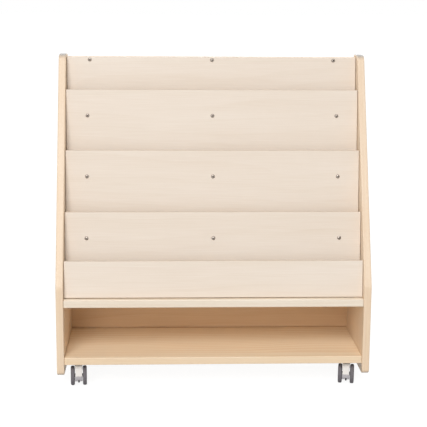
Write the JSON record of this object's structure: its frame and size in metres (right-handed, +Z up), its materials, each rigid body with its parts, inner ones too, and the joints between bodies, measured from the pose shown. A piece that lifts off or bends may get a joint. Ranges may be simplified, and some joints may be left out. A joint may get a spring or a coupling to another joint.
{
  "type": "mobile book display",
  "caption": "Plywood book display on casters: leaning display panels in tiers over ledges, a front lip and an open storage bay below, with swivel casters and brake pedals in front.",
  "frame": {"origin": "on the floor, under the middle of the display", "axes": "+X to the right as seen from the front, +Y to the back, +Z up; the front faces -Y"},
  "size_m": [0.8, 0.285, 0.8345],
  "materials": {
    "display_board": "pale birch plywood, clear satin lacquer",
    "side_board": "birch plywood with rounded edges, clear satin lacquer",
    "shelf_board": "birch plywood, clear satin lacquer",
    "back_board": "thin birch plywood, clear satin lacquer",
    "screw_steel": "nickel-plated steel",
    "zinc_steel": "bright zinc-plated steel",
    "caster_body_plastic": "pale grey moulded plastic",
    "wheel_plastic": "grey moulded plastic",
    "tyre_rubber": "dark grey soft tread"
  },
  "bodies": {
    "carcass": {"side_panel_left": "side_board", "side_panel_right": "side_board", "bottom_shelf": "shelf_board", "middle_shelf": "shelf_board", "back_panel": "back_board", "top_rail": "shelf_board", "front_lip": "display_board", "display_panel_1": "display_board", "display_panel_2": "display_board", "display_panel_3": "display_board", "display_panel_4": "display_board", "book_ledge_1": "shelf_board", "book_ledge_2": "shelf_board", "book_ledge_3": "shelf_board", "display_screw_1_left": "screw_steel", "display_screw_1_middle": "screw_steel", "display_screw_1_right": "screw_steel", "display_screw_2_left": "screw_steel", "display_screw_2_middle": "screw_steel", "display_screw_2_right": "screw_steel", "display_screw_3_left": "screw_steel", "display_screw_3_middle": "screw_steel", "display_screw_3_right": "screw_steel", "display_screw_4_left": "screw_steel", "display_screw_4_middle": "screw_steel", "display_screw_4_right": "screw_steel", "caster_front_left_plate": "zinc_steel", "caster_front_left_kingpin": "zinc_steel", "caster_front_right_plate": "zinc_steel", "caster_front_right_kingpin": "zinc_steel", "caster_rear_left_plate": "zinc_steel", "caster_rear_left_kingpin": "zinc_steel", "caster_rear_right_plate": "zinc_steel", "caster_rear_right_kingpin": "zinc_steel"},
    "caster_front_left_fork": {"caster_front_left_body": "caster_body_plastic", "caster_front_left_axle": "zinc_steel"},
    "caster_front_left_wheel_left": {"caster_front_left_wheel_core_left": "wheel_plastic", "caster_front_left_tyre_left": "tyre_rubber"},
    "caster_front_left_wheel_right": {"caster_front_left_wheel_core_right": "wheel_plastic", "caster_front_left_tyre_right": "tyre_rubber"},
    "caster_front_left_brake": {"caster_front_left_brake_pedal": "caster_body_plastic"},
    "caster_front_right_fork": {"caster_front_right_body": "caster_body_plastic", "caster_front_right_axle": "zinc_steel"},
    "caster_front_right_wheel_left": {"caster_front_right_wheel_core_left": "wheel_plastic", "caster_front_right_tyre_left": "tyre_rubber"},
    "caster_front_right_wheel_right": {"caster_front_right_wheel_core_right": "wheel_plastic", "caster_front_right_tyre_right": "tyre_rubber"},
    "caster_front_right_brake": {"caster_front_right_brake_pedal": "caster_body_plastic"},
    "caster_rear_left_fork": {"caster_rear_left_body": "caster_body_plastic", "caster_rear_left_axle": "zinc_steel"},
    "caster_rear_left_wheel_left": {"caster_rear_left_wheel_core_left": "wheel_plastic", "caster_rear_left_tyre_left": "tyre_rubber"},
    "caster_rear_left_wheel_right": {"caster_rear_left_wheel_core_right": "wheel_plastic", "caster_rear_left_tyre_right": "tyre_rubber"},
    "caster_rear_right_fork": {"caster_rear_right_body": "caster_body_plastic", "caster_rear_right_axle": "zinc_steel"},
    "caster_rear_right_wheel_left": {"caster_rear_right_wheel_core_left": "wheel_plastic", "caster_rear_right_tyre_left": "tyre_rubber"},
    "caster_rear_right_wheel_right": {"caster_rear_right_wheel_core_right": "wheel_plastic", "caster_rear_right_tyre_right": "tyre_rubber"}
  },
  "joints": [
    {"name": "caster_front_left_swivel", "type": "hinge", "parent": "carcass", "child": "caster_front_left_fork", "pos_m": [-0.3471, -0.10106, 0.059], "axis": [0, 0, 1], "continuous": true},
    {"name": "caster_front_left_roll_left", "type": "hinge", "parent": "caster_front_left_fork", "child": "caster_front_left_wheel_left", "pos_m": [-0.36212, -0.10751, 0.025], "axis": [0.998, 0.0628, 0], "continuous": true},
    {"name": "caster_front_left_roll_right", "type": "hinge", "parent": "caster_front_left_fork", "child": "caster_front_left_wheel_right", "pos_m": [-0.33138, -0.10558, 0.025], "axis": [0.998, 0.0628, 0], "continuous": true},
    {"name": "caster_front_left_brake_rock", "type": "hinge", "parent": "caster_front_left_fork", "child": "caster_front_left_brake", "pos_m": [-0.34675, -0.10655, 0.025], "axis": [0.998, 0.0628, 0], "range_deg": [0, 22]},
    {"name": "caster_front_right_swivel", "type": "hinge", "parent": "carcass", "child": "caster_front_right_fork", "pos_m": [0.3471, -0.10106, 0.059], "axis": [0, 0, 1], "continuous": true},
    {"name": "caster_front_right_roll_left", "type": "hinge", "parent": "caster_front_right_fork", "child": "caster_front_right_wheel_left", "pos_m": [0.33096, -0.10366, 0.025], "axis": [0.9833, -0.1822, 0], "continuous": true},
    {"name": "caster_front_right_roll_right", "type": "hinge", "parent": "caster_front_right_fork", "child": "caster_front_right_wheel_right", "pos_m": [0.36124, -0.10927, 0.025], "axis": [0.9833, -0.1822, 0], "continuous": true},
    {"name": "caster_front_right_brake_rock", "type": "hinge", "parent": "caster_front_right_fork", "child": "caster_front_right_brake", "pos_m": [0.3461, -0.10647, 0.025], "axis": [0.9833, -0.1822, 0], "range_deg": [0, 22]},
    {"name": "caster_rear_left_swivel", "type": "hinge", "parent": "carcass", "child": "caster_rear_left_fork", "pos_m": [-0.3471, 0.10106, 0.059], "axis": [0, 0, 1], "continuous": true},
    {"name": "caster_rear_left_roll_left", "type": "hinge", "parent": "caster_rear_left_fork", "child": "caster_rear_left_wheel_left", "pos_m": [-0.36317, 0.09803, 0.025], "axis": [0.9877, -0.1564, 0], "continuous": true},
    {"name": "caster_rear_left_roll_right", "type": "hinge", "parent": "caster_rear_left_fork", "child": "caster_rear_left_wheel_right", "pos_m": [-0.33275, 0.09322, 0.025], "axis": [0.9877, -0.1564, 0], "continuous": true},
    {"name": "caster_rear_right_swivel", "type": "hinge", "parent": "carcass", "child": "caster_rear_right_fork", "pos_m": [0.3471, 0.10106, 0.059], "axis": [0, 0, 1], "continuous": true},
    {"name": "caster_rear_right_roll_left", "type": "hinge", "parent": "caster_rear_right_fork", "child": "caster_rear_right_wheel_left", "pos_m": [0.33248, 0.09372, 0.025], "axis": [0.9925, 0.1219, 0], "continuous": true},
    {"name": "caster_rear_right_roll_right", "type": "hinge", "parent": "caster_rear_right_fork", "child": "caster_rear_right_wheel_right", "pos_m": [0.36306, 0.09748, 0.025], "axis": [0.9925, 0.1219, 0], "continuous": true}
  ]
}
